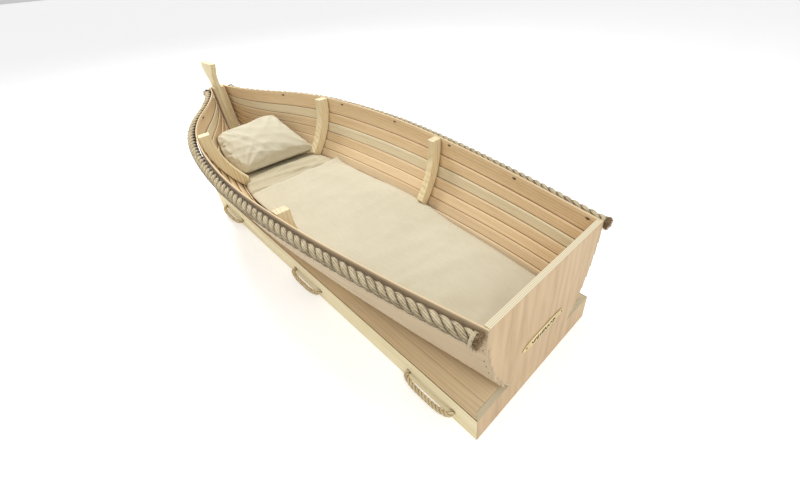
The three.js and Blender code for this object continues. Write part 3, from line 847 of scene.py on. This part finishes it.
# Ropes: three strands twisted round each other
def strands(name, path, radius, lay, material, node, sides=12, per_turn=16, phase=0.0):
    points, total = resample(path, lay / per_turn)
    frames_list = frames_along(points)
    strand = radius * 0.478
    reach = radius - strand
    bm = bmesh.new()
    for k in range(3):
        rings = []
        for i, (p, tangent, side, up) in enumerate(frames_list):
            s = total * i / (len(frames_list) - 1)
            angle = phase + 2 * math.pi * (k / 3 - s / lay)
            out = side * math.cos(angle) + up * math.sin(angle)
            across = tangent.cross(out).normalized()
            centre = p + out * reach
            lean = (across * (2 * math.pi * reach / lay)).length
            along = (tangent + across * lean).normalized()
            wide = out.cross(along).normalized()
            turns = [2 * math.pi * j / sides for j in range(sides)]
            rings.append([centre + (out * math.cos(a) + wide * math.sin(a) * 1.06) * strand for a in turns])
        mesh = tube(f"{name}_{k}", rings)
        bm.from_mesh(mesh)
        bpy.data.meshes.remove(mesh)
    bmesh.ops.recalc_face_normals(bm, faces=bm.faces)
    mesh = from_bmesh(name, bm)
    shade_smooth(mesh)
    finish_piece(new_object(name, mesh, material), "rope", node)


FENDER_TAILS = {"port": -0.003, "starboard": 0.010}
FENDER_DROPS = {"port": 0.0015, "starboard": 0.003}


def fender_path(name, side):
    points = []
    for i in range(49):
        u = 0.985 * i / 48
        edge = hull_point(u, 1, PLANK + ROPE_RADIUS + 0.0062 - 0.0035 * u)
        points.append(Vector((edge.x, edge.y * side, sheer_height(u) - FENDER_DROPS[name] - ROPE_RADIUS)))
    points[0].x += FENDER_TAILS[name]
    return points


def trimmed(points, length):
    """The path without its first stretch, where the strands are teased out into a tuft."""
    fine, _ = resample(points, 0.002)
    start = points[0]
    return [p for p in fine if (p - start).length > length]


HANDLE_SPAN = 0.183
HANDLE_REACH = 0.0225
HANDLE_HEIGHT = 0.038
HANDLE_DROP = 0.009


def handle_path(centre, side):
    half, reach = HANDLE_SPAN / 2, HANDLE_REACH
    start = ((-half, -0.028, 0), (-half, -0.009, 0), (-half, 0.007, 0), (-half * 0.9, reach * 0.72, -0.4),
             (-half * 0.5, reach * 0.97, -0.9))
    end = tuple((-along, out, drop) for along, out, drop in reversed(start))
    points = [Vector((centre + along, (BASE_HALF + out) * side, HANDLE_HEIGHT + drop * HANDLE_DROP))
              for along, out, drop in start + ((0, reach, -1),) + end]
    return catmull(points, 8)


HANDLE_CENTRES = [FOOT_X - (0.178 + 0.677 * i) for i in range(3)]


def fibres(name, starts, material, thick, seed):
    """Loose hairs, each a thin bent three-sided strip from a start point in a direction."""
    rng = random.Random(seed)
    bm = bmesh.new()
    for start, direction, length in starts:
        side = direction.orthogonal().normalized()
        side.rotate(Matrix.Rotation(rng.uniform(0, 2 * math.pi), 3, direction))
        other = direction.cross(side).normalized()
        bend = side * rng.uniform(0.2, 0.8) + Vector((0, 0, rng.uniform(-0.25, 0.25)))
        rows = []
        for i in range(4):
            k = i / 3
            centre = start + direction * length * k + bend * length * k * k * 0.7
            r = thick * (1 - 0.75 * k)
            rows.append([bm.verts.new(centre + side * r * math.cos(a) + other * r * math.sin(a))
                         for a in (0.0, 2.094, 4.189)])
        capped(bm, rows)
    add_piece(name, bm, material, "rope")


def rope_dressing(name, path, radius, materials, seed):
    """Fuzz along a rope, a frayed tuft past each end, and a twine whipping near the foot."""
    hemp, tuft, twine = materials
    rng = random.Random(seed)
    points, _ = resample(path, 0.006)
    along = frames_along(points)
    hairs = []
    for _ in range(1500):
        p, tangent, side, up = along[rng.randrange(len(along))]
        a = rng.uniform(0, 2 * math.pi)
        out = side * math.cos(a) + up * math.sin(a)
        direction = (out * rng.uniform(0.3, 1.0) + tangent * rng.uniform(-1.0, 1.0)).normalized()
        hairs.append((p + out * radius * 0.9, direction, rng.uniform(0.005, 0.012)))
    fibres(f"rope_fuzz_{name}", hairs, hemp, 0.00028, seed)
    for end, place, root in (("foot", along[1], 0.012), ("bow", along[-1], 0.004)):
        p, tangent, side, up = place
        away = -tangent if end == "foot" else tangent
        hairs = []
        for _ in range(520):
            a = rng.uniform(0, 2 * math.pi)
            r = radius * math.sqrt(rng.random()) * 0.9
            out = side * math.cos(a) + up * math.sin(a)
            spread = out * (0.9 * r / radius + rng.uniform(-0.3, 0.3))
            hairs.append((p - away * root * rng.random() + out * r, (away + spread).normalized(),
                          rng.uniform(0.006, 0.014)))
        fibres(f"rope_tuft_{end}_{name}", hairs, tuft if end == "foot" else hemp, 0.0012, seed + 5)
    turns, thick = 4, 0.0013
    p, tangent, side, up = along[2]
    coil = []
    for i in range(20 * turns + 1):
        a = 2 * math.pi * i / 20
        out = side * math.cos(a) + up * math.sin(a)
        coil.append(p + tangent * (0.0025 * i / 20) + out * (radius * 0.97))
    rings = [[q + (sd * math.cos(b) + u * math.sin(b)) * thick for b in (n * math.pi / 3 for n in range(6))]
             for q, _, sd, u in frames_along(coil)]
    mesh = tube(f"rope_whipping_{name}", rings)
    finish_piece(new_object(f"rope_whipping_{name}", mesh, twine), "rope")


TIE_DISTANCES = (0.048, 0.348, 0.697, 1.055, 1.420, 1.775)


def make_ties(material, dark):
    """Twine through small holes in the top plank, knotted on its inner face."""
    for name, side in SIDES:
        bm = bmesh.new()
        holes = bmesh.new()
        for d in TIE_DISTANCES:
            u = d / SHEER_LENGTH
            for step in (-0.004, 0.004):
                at = hull_point(u + step / SHEER_LENGTH, 0.955, -0.0006)
                place = Vector((at.x, at.y * side, at.z))
                flat = Matrix.Translation(place) @ Matrix.Diagonal((1.5, 0.7, 1.0, 1))
                bmesh.ops.create_icosphere(bm, subdivisions=2, radius=0.0026, matrix=flat)
            # the holes are dark discs: painted shade where each hole goes into the plank
            at = hull_point(u, 0.95, 0.0002)
            place = Vector((at.x, at.y * side, at.z))
            turn = Matrix.Rotation(math.radians(90), 4, "X")
            bmesh.ops.create_cone(holes, segments=14, radius1=0.0036, radius2=0.0036, depth=0.0014,
                                  cap_ends=True, matrix=Matrix.Translation(place) @ turn)
        for label, source, paint in (("ties", bm, material), ("holes", holes, dark)):
            add_piece(f"rope_{label}_{name}", source, paint, "rope")


def make_ropes():
    hemp = rope_material("hemp", ((226, 213, 182), (186, 169, 134), (88, 70, 46)), underside_shade=0.86)
    brown = rope_material("hemp_handle", ((246, 230, 194), (228, 206, 162), (92, 64, 38)),
                          twist=210.0, shade_reach=0.007, underside_shade=0.5)
    tuft = rope_material("hemp_frayed", ((232, 214, 176), (206, 182, 140), (150, 120, 84)),
                         shade_share=0.4, underside_shade=0.2)
    twine = rope_material("twine", ((244, 236, 208), (232, 220, 186), (190, 170, 130)),
                          shade_share=0.3, underside_shade=0.2)
    knot = rope_material("tie_twine", ((196, 172, 128), (150, 124, 84), (80, 58, 36)))
    hole_shade = wood("tie_hole_shadow", srgb(96, 70, 46), srgb(76, 54, 34), srgb(48, 34, 22), rough=0.8)
    for name, side in SIDES:
        strands(f"gunwale_rope_{name}", trimmed(fender_path(name, side), 0.011), ROPE_RADIUS, 0.097, hemp,
                f"fender_rope_{name}")
        rope_dressing(name, fender_path(name, side), ROPE_RADIUS, (hemp, tuft, twine), 30 + side)
        for number, centre in enumerate(HANDLE_CENTRES):
            strands(f"handle_{number + 1}_{name}", handle_path(centre, side), 0.0082, 0.042, brown,
                    f"handle_rope_{number + 1}_{name}", 10, 14, number * 0.9)
    make_ties(knot, hole_shade)


make_ropes()


# Bedding
def mattress_half(d, height):
    room = breadth_at(d / 1000, height) - 0.010
    squeezed = sum(0.007 * math.exp(-((d - place) / 26) ** 2) for place in FRAME_DISTANCES)
    return min(mattress_breadth(d) / 1000 - squeezed, room)


mattress_breadth = through([
    (42, 178), (357, 207), (577, 222), (740, 247), (925, 250), (1153, 234), (1380, 226), (1560, 190),
    (1880, 60),
])
BLANKET_HEM = 1385


def inflate(obj, pressure, cap, frames, voxel):
    """Cloth simulation of a closed form, from its own shape to a filled one, with its result applied."""
    scene = bpy.context.scene
    remesh = obj.modifiers.new("remesh", "REMESH")
    remesh.mode = "VOXEL"
    remesh.voxel_size = voxel
    apply_modifier(obj, remesh)
    start = [v.co.copy() for v in obj.data.vertices]
    cloth = obj.modifiers.new("cloth", "CLOTH")
    s = cloth.settings
    s.quality = 4
    s.mass = 0.3
    s.tension_stiffness = 14
    s.compression_stiffness = 8
    s.shear_stiffness = 5
    s.bending_stiffness = 0.6
    s.use_pressure = True
    s.uniform_pressure_force = pressure
    s.effector_weights.gravity = 0
    cloth.collision_settings.use_collision = False
    cloth.collision_settings.use_self_collision = False
    cloth.point_cache.frame_start = 1
    cloth.point_cache.frame_end = frames
    for f in range(1, frames + 1):
        scene.frame_set(f)
    apply_modifier(obj, cloth)
    for v, was in zip(obj.data.vertices, start):
        move = v.co - was
        if move.length > cap:
            v.co = was + move.normalized() * cap
    scene.frame_set(1)


def creases(x, y, angle, spacing, height, shift, wander=0.9):
    """Soft pull lines at an angle in degrees, that come and go."""
    a = math.radians(angle)
    along = x * math.cos(a) + y * math.sin(a)
    across = -x * math.sin(a) + y * math.cos(a)
    drift = noise.noise(Vector((along * 1.6, across / spacing * 0.6, shift)))
    crest = (0.5 + 0.5 * math.cos(2 * math.pi * (across / spacing + wander * drift))) ** 2.4
    gate = 0.45 + 1.1 * noise.noise(Vector((along * 2.3 + 3.0, across * 4.0, shift + 5.0)))
    return height * crest * min(1.0, max(0.0, gate))


def make_mattress(material):
    stations, half_steps, wall = 64, 12, 5
    rings = []
    for i in range(stations + 1):
        d = 42 + (1880 - 42) * i / stations
        low = keel_height((d + 90) / 1000 / SHEER_LENGTH) + 0.0104
        lower, upper = mattress_half(d, low + 0.008), mattress_half(d, MATTRESS_TOP)
        x = FOOT_X - d / 1000
        ring = []
        top, bottom = MATTRESS_TOP - 0.003, low + 0.002
        roll = 0.012

        def wall_height(k):
            return top - roll + (bottom - top + roll) * k

        for j in range(2 * half_steps + 1):
            y = (j / half_steps - 1)
            edge = max(0.0, abs(y) * upper - (upper - roll)) / roll
            ring.append(Vector((x, y * (upper - 0.004), top - roll * (1 - math.sqrt(max(0, 1 - edge ** 2))))))
        for j in range(1, wall + 1):
            k = j / (wall + 1)
            ring.append(Vector((x, upper + (lower - upper) * k - 0.003, wall_height(k))))
        for j in range(half_steps + 1):
            ring.append(Vector((x, (1 - 2 * j / half_steps) * (lower - 0.006), bottom)))
        for j in range(wall, 0, -1):
            k = j / (wall + 1)
            ring.append(Vector((x, -(upper + (lower - upper) * k - 0.003), wall_height(k))))
        rings.append(ring)
    mesh = tube("mattress_pad", rings)
    obj = new_object("mattress_pad", mesh, material)
    inflate(obj, 2.0, 0.004, 12, 0.012)
    for v in obj.data.vertices:
        if v.co.z > MATTRESS_TOP - 0.012:
            v.co.z = min(v.co.z, MATTRESS_TOP - 0.0005)
    shade_smooth(obj.data)
    subdivide(obj)
    finish_piece(obj, "canvas", "mattress")


def cover_point(k, c):
    """Point of the cover: k from the transom (0) to the hem (1), c from port (-1) to starboard (1)."""
    hem = BLANKET_HEM - 4 + 4 * math.sin(c * 4.0)
    d = 46 + (hem - 46) * k
    half = mattress_half(d, MATTRESS_TOP) + 0.002
    y = c * half
    x = FOOT_X - d / 1000
    low = MATTRESS_TOP + 0.0014
    wave = creases(x, y, 18, 0.13, 0.0050, 0.0) + creases(x, y, -24, 0.17, 0.0045, 2.0)
    wave += creases(x, y, 62, 0.21, 0.0050, 5.0) + creases(x, y, 84, 0.10, 0.0026, 9.0)
    wave += 0.003 * noise.noise(Vector((x * 2.2, y * 3.0, 1.0)))
    inset = half - abs(y)
    edge = max(0.0, 1 - inset / 0.016)
    calm = min(1.0, inset / 0.05)
    z = low + 0.0035 + wave * calm - 0.0055 * edge ** 2
    near_hem = max(0.0, (k - 0.95) / 0.05)
    lift = max(0.0, c - 0.5) / 0.5
    z += 0.016 * lift ** 1.5 * near_hem ** 2 + 0.0025 * near_hem
    return Vector((x, y, max(z, low - 0.0035 * edge)))


def laid_cloth(name, mesh_name, rows, cols, point, thickness, material):
    """Sheet over a grid of points: k along it (0 to 1) and c across it (-1 to 1)."""
    bm = bmesh.new()
    grid = [[bm.verts.new(point(i / rows, 2 * j / cols - 1)) for j in range(cols + 1)]
            for i in range(rows + 1)]
    for i in range(rows):
        for j in range(cols):
            bm.faces.new((grid[i][j], grid[i][j + 1], grid[i + 1][j + 1], grid[i + 1][j]))
    bmesh.ops.recalc_face_normals(bm, faces=bm.faces)
    mesh = from_bmesh(mesh_name, bm)
    shade_smooth(mesh)
    if sum(p.normal.z for p in mesh.polygons) < 0:
        mesh.flip_normals()
    obj = new_object(name, mesh, material)
    solid = obj.modifiers.new("cloth", "SOLIDIFY")
    solid.thickness = thickness
    solid.offset = 1.0
    return obj


STITCH = ((-0.0006, 0.0022), (0.0006, 0.0022), (0.0004, 0.0031), (-0.0004, 0.0031))


def make_blanket(material, thread):
    """Cover over the mattress from the transom to the hem, with stitched edges and shallow pull lines."""
    obj = laid_cloth("cover_cloth", "cover", 210, 76, cover_point, 0.0024, material)
    finish_piece(obj, "canvas", "blanket")
    seam = bmesh.new()
    steps = 190
    lines = []
    for side in (-1, 1):
        lines.append([(0.015 + 0.975 * i / steps, side * 0.945) for i in range(steps)])
    lines.append([(0.982, -0.94 + 1.88 * i / 70) for i in range(70)])
    for line in lines:
        for (k, c), (k2, c2) in zip(line, line[1:]):
            a, b = cover_point(k, c), cover_point(k2, c2)
            a, b = a.lerp(b, 0.12), a.lerp(b, 0.72)
            direction = (b - a).normalized()
            across = direction.cross(Vector((0, 0, 1))).normalized()
            ring_a = [seam.verts.new(a + across * w + Vector((0, 0, h))) for w, h in STITCH]
            ring_b = [seam.verts.new(b + across * w + Vector((0, 0, h))) for w, h in STITCH]
            bridge(seam, ring_a, ring_b)
            seam.faces.new(ring_a)
            seam.faces.new(list(reversed(ring_b)))
    bmesh.ops.recalc_face_normals(seam, faces=seam.faces)
    stitches = add_piece("cover_stitching", seam, thread, "canvas", smooth=False)


def under_sheet_point(k, c):
    """Point of the lower sheet: k from under the hem (0) to under the pillow (1), c as in cover_point."""
    hem = BLANKET_HEM - 4
    d = (hem - 40) * (1 - k) + 1590 * k
    half = mattress_half(d, MATTRESS_TOP) + 0.001
    x, y = FOOT_X - d / 1000, c * half
    open_part = min(1.0, max(0.0, (d - hem) / 30)) * min(1.0, max(0.0, (1570 - d) / 40))
    fold = creases(x, y, 76, 0.085, 0.0100, 3.0, 1.5) + creases(x, y, 52, 0.060, 0.0070, 8.0, 1.7)
    fold += creases(x, y, 95, 0.045, 0.0035, 12.0, 1.2)
    edge = max(0.0, 1 - (half - abs(y)) / 0.014)
    z = MATTRESS_TOP + 0.0006 + open_part * (0.0012 + fold) * (1 - edge) - 0.004 * edge ** 2
    return Vector((x, y, z))


def make_under_sheet(material):
    """The part of the lower sheet that shows between the cover's hem and the pillow, with loose folds."""
    obj = laid_cloth("under_sheet", "under_sheet", 60, 90, under_sheet_point, 0.0008, material)
    finish_piece(obj, "canvas")


PILLOW_CORNERS = ((1562, -0.172, 0.181), (1526, 0.215, 0.196), (1830, 0.156, 0.334), (1808, -0.192, 0.326))


def tuck(p, corner, seed):
    """Creases that fan out from a corner."""
    across = p - corner
    r = across.length
    angle = math.atan2(across.y, across.x)
    wave = (0.5 + 0.5 * math.cos(angle * 17 + 3.0 * noise.noise(Vector((r * 14, seed * 3.0, 1.0))))) ** 1.6
    reach = r / 0.07
    return 0.0042 * wave * reach * math.exp(1 - reach) * (1 if r > 0.012 else r / 0.012)


def make_pillow(material):
    """Filled cushion with a seam all round, propped up at the head."""
    corners = [Vector((FOOT_X - d / 1000, y, z)) for d, y, z in PILLOW_CORNERS]
    cols, rows = 36, 30
    bm = bmesh.new()
    normal = (corners[1] - corners[0]).cross(corners[3] - corners[0]).normalized()
    if normal.z < 0:
        normal = -normal
    layers = []
    for face in (1, -1):
        grid = []
        for i in range(rows + 1):
            v = i / rows
            row = []
            for j in range(cols + 1):
                u = j / cols
                foot = corners[0] * (1 - u) + corners[1] * u
                head = corners[3] * (1 - u) + corners[2] * u
                p = foot * (1 - v) + head * v
                # the sides pull in between the corners, and the head corners are rounded
                centre = (corners[0] + corners[1] + corners[2] + corners[3]) / 4
                pull = 0.04 * 4 * v * (1 - v) * max(0, 2 * u - 1) ** 6
                pull -= 0.20 * 4 * v * (1 - v) * max(0, 1 - 2 * u) ** 6
                pull -= 0.06 * 4 * u * (1 - u) * v ** 6
                pull += 0.07 * (2 * u - 1) ** 8 * v ** 8
                p = p.lerp(centre, pull)
                slope = 0.8 if face > 0 else 0.45
                dome = (4 * u * (1 - u)) ** 0.5 * (4 * v * (1 - v)) ** (slope + (0.45 - slope) * v)
                p = p + normal * face * (0.0015 + (0.042 if face > 0 else 0.040) * dome)
                row.append(bm.verts.new(p))
            grid.append(row)
        layers.append(grid)
    for face, grid in zip((1, -1), layers):
        for i in range(rows):
            for j in range(cols):
                quad = (grid[i][j], grid[i][j + 1], grid[i + 1][j + 1], grid[i + 1][j])
                bm.faces.new(quad if face > 0 else tuple(reversed(quad)))
    top, bottom = layers
    rim = [(0, j) for j in range(cols)] + [(i, cols) for i in range(rows)]
    rim += [(rows, j) for j in range(cols, 0, -1)] + [(i, 0) for i in range(rows, 0, -1)]
    for n, (i, j) in enumerate(rim):
        a, b = rim[(n + 1) % len(rim)]
        bm.faces.new((top[i][j], bottom[i][j], bottom[a][b], top[a][b]))
    bmesh.ops.recalc_face_normals(bm, faces=bm.faces)
    obj = new_object("pillow_cushion", from_bmesh("pillow_cushion", bm), material)
    inflate(obj, 4.0, 0.014, 20, 0.006)
    for v in obj.data.vertices:
        up = 1.0 if v.normal.dot(normal) > 0.2 else 0.25
        x, y = v.co.x, v.co.y
        fold = creases(x, y, 30, 0.060, 0.0030, 6.0) + creases(x, y, 75, 0.045, 0.0024, 3.0)
        fold += sum(tuck(v.co, corner, n) for n, corner in enumerate(corners))
        v.co += normal * fold * up
        floor = MATTRESS_TOP + 0.003
        if v.co.z < floor:
            v.co.z = floor + 0.1 * (v.co.z - floor)
        room = breadth_at((FOOT_X - v.co.x), max(v.co.z, MATTRESS_TOP)) - 0.004
        if abs(v.co.y) > room:
            v.co.y = math.copysign(room, v.co.y)
    shade_smooth(obj.data)
    subdivide(obj)
    finish_piece(obj, "canvas", "pillow")


def make_bedding():
    cream = canvas("cream_canvas", srgb(198, 189, 163), srgb(180, 169, 139))
    pale = canvas("pale_canvas", srgb(210, 203, 181), srgb(194, 186, 160), fold=0.4)
    thread = canvas("seam_thread", srgb(222, 215, 192), srgb(204, 195, 168), fold=0.1)
    make_mattress(cream)
    make_blanket(pale, thread)
    make_under_sheet(cream)
    make_pillow(pale)


make_bedding()


# Nameplate, with shallow strokes where the original has its inscription, and two screws
def make_nameplate():
    brass = Graph("plate_metal")
    rub = brass.noise(brass.coords(scale=(40, 12, 260)), 1.0, 4.0, 0.6)
    broad = brass.noise(brass.coords(), 22.0, 3.0, 0.5)
    tone = brass.weighted((rub, 0.5), (broad, 0.5))
    stops = ((0.32, srgb(196, 172, 112)), (0.55, srgb(224, 206, 150)), (0.75, srgb(240, 226, 178)))
    brass.surface(brass.ramp(tone, stops), brass.map_range(rub, 0.3, 0.7, 0.30, 0.48), metallic=0.55)
    board("nameplate", brass.material, "plate", 0.0007)
    ink = wood("stroke", srgb(66, 48, 28), srgb(50, 36, 20), srgb(34, 24, 14), grain_axis="y", rough=0.7)
    random.seed(11)
    face = FOOT_X + 0.0028
    y = -0.060
    bm = bmesh.new()
    while y < 0.052:
        width = random.uniform(0.0028, 0.0055)
        tall = random.uniform(0.011, 0.018)
        lean = random.uniform(-0.8, 0.8)
        centre = Vector((face, y, 0.198 + random.uniform(-0.0015, 0.0015)))
        size = Matrix.Diagonal((0.0004, 0.0042, tall, 1))
        turn = Matrix.Rotation(lean, 4, "X")
        bmesh.ops.create_cube(bm, size=1.0, matrix=Matrix.Translation(centre) @ turn @ size)
        y += width + 0.0032
    add_piece("plate_strokes", bm, ink, "plate", smooth=False)


make_nameplate()


# Small fastenings
def button(bm, centre, direction, radius, height):
    """Low domed head, its base on the surface at the centre."""
    turn = direction.normalized().to_track_quat("Z", "Y").to_matrix().to_4x4()
    place = Matrix.Translation(centre) @ turn
    sides = 12
    rows = ((1.0, 0.0), (0.96, 0.45), (0.72, 0.82), (0.3, 1.0))
    rings = []
    for r, h in rows:
        rings.append([bm.verts.new(place @ Vector((radius * r * math.cos(2 * math.pi * i / sides),
                                                   radius * r * math.sin(2 * math.pi * i / sides),
                                                   height * h))) for i in range(sides)])
    capped(bm, rings)


NAIL_DISTANCES = (0.009, *(d / 1000 for d in FRAME_DISTANCES))


def make_fastenings():
    steel = metal("nail_metal", srgb(112, 92, 66), 0.5)
    dark = metal("screw_metal", srgb(96, 80, 58), 0.5)
    for name, side in SIDES:
        bm = bmesh.new()
        for n in range(1, 8):
            for d in NAIL_DISTANCES:
                u = d / SHEER_LENGTH
                low = strake_edge(n, u)
                foot = max(0.0, low - LAP)
                t = foot + LAP * 0.9
                a, b = hull_point(u, t, PLANK), hull_point(u, t, PLANK + 0.01)
                ring = plank_ring(n, u, side)
                p = min(ring[9:16], key=lambda q: abs(q.z - a.z))
                direction = Vector((0, (b.y - a.y) * side, b.z - a.z))
                button(bm, p - direction.normalized() * 0.0003, direction, 0.0022, 0.0012)
        add_piece(f"plank_nails_{name}", bm, steel, "plank")
    bm = bmesh.new()
    for y in (-0.089, 0.089):
        button(bm, Vector((FOOT_X + 0.0027, y, 0.2005)), Vector((1, 0, 0)), 0.0032, 0.0012)
    add_piece("plate_screws", bm, dark, "plate")


make_fastenings()


# Studio: flat pale floor, even world light and two large soft lights
def make_studio():
    g = Graph("studio_floor")
    spots = g.noise(g.coords(), 3.0, 2.0, 0.5)
    g.surface(g.ramp(spots, ((0.3, (0.96, 0.96, 0.96)), (0.7, (0.98, 0.98, 0.98)))), 0.9)
    g.shader.inputs["Emission Color"].default_value = (1, 1, 1, 1)
    g.shader.inputs["Emission Strength"].default_value = 0.34
    bm = bmesh.new()
    bmesh.ops.create_grid(bm, x_segments=2, y_segments=2, size=14.0)
    floor = new_object("studio_floor", from_bmesh("studio_floor", bm), g.material)
    floor.location.z = -0.0005
    world = bpy.data.worlds.new("studio")
    world.use_nodes = True
    world.node_tree.nodes["Background"].inputs[0].default_value = (1, 1, 1, 1)
    world.node_tree.nodes["Background"].inputs[1].default_value = 0.57
    bpy.context.scene.world = world

    def lamp(name, place, target, size, power):
        data = bpy.data.lights.new(name, "AREA")
        data.shape = "SQUARE"
        data.size = size
        data.energy = power
        obj = bpy.data.objects.new(name, data)
        obj.location = place
        obj.rotation_euler = (Vector(target) - Vector(place)).to_track_quat("-Z", "Y").to_euler()
        bpy.context.collection.objects.link(obj)

    lamp("key", (-1.9, 0.4, 2.9), (0.1, 0, 0.2), 1.2, 90)
    lamp("fill", (3.0, -1.2, 2.8), (0.3, 0, 0.2), 2.0, 40)
    bpy.context.scene.view_settings.view_transform = "Standard"


make_studio()

bpy.context.view_layer.update()
